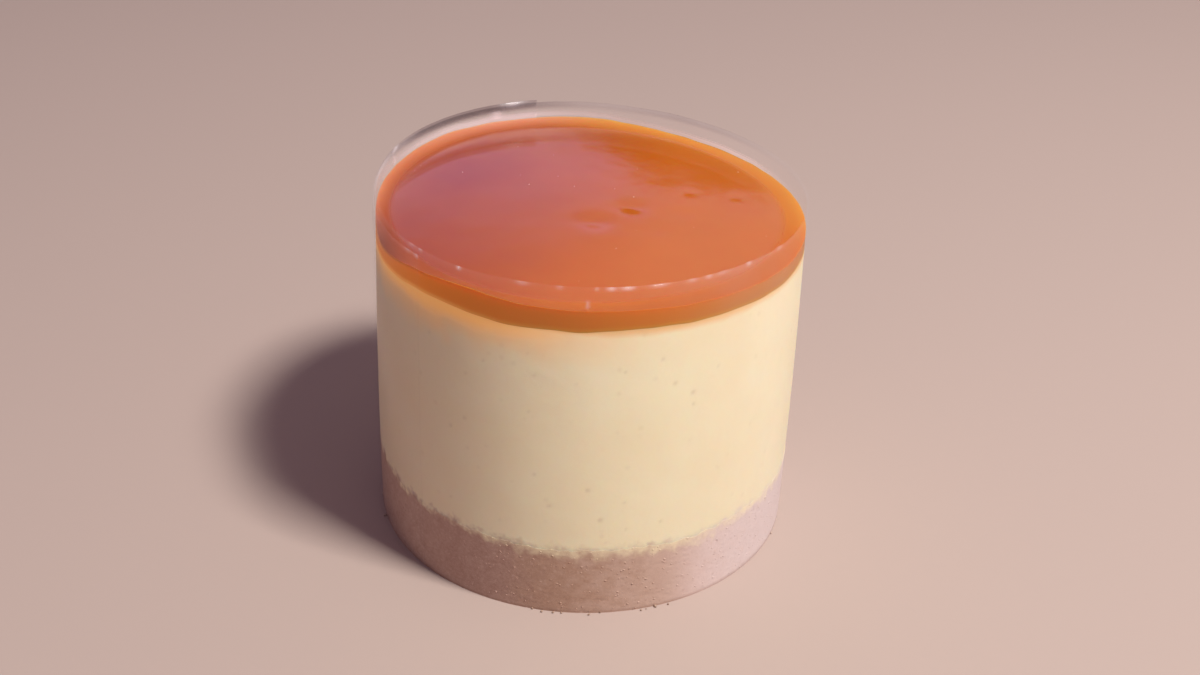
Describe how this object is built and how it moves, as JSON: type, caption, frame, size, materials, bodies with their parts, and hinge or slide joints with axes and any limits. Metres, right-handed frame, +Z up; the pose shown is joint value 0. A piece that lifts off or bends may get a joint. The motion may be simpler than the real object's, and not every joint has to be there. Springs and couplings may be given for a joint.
{
  "type": "salted caramel cheesecake",
  "caption": "Individual round cheesecake: pressed biscuit base, pale set cheesecake and a glossy caramel layer, wrapped in a strip of clear film that stands proud of the top.",
  "frame": {"origin": "on the ground, under the middle of the whole", "axes": "+Z up through the layers; the front, which the picture shows, faces -Y, and the outer end of the film lies at the front left"},
  "size_m": [0.0778, 0.0786, 0.0644],
  "materials": {
    "biscuit": "pressed biscuit crumb, dry and grainy",
    "cheesecake": "set cream cheese, smooth and softly satin behind the film",
    "caramel": "glossy, slightly translucent caramel",
    "film": "thin clear glossy film"
  },
  "bodies": {
    "root": {"biscuit_base": "biscuit", "cheesecake": "cheesecake", "caramel": "caramel", "film_collar": "film"}
  },
  "joints": []
}
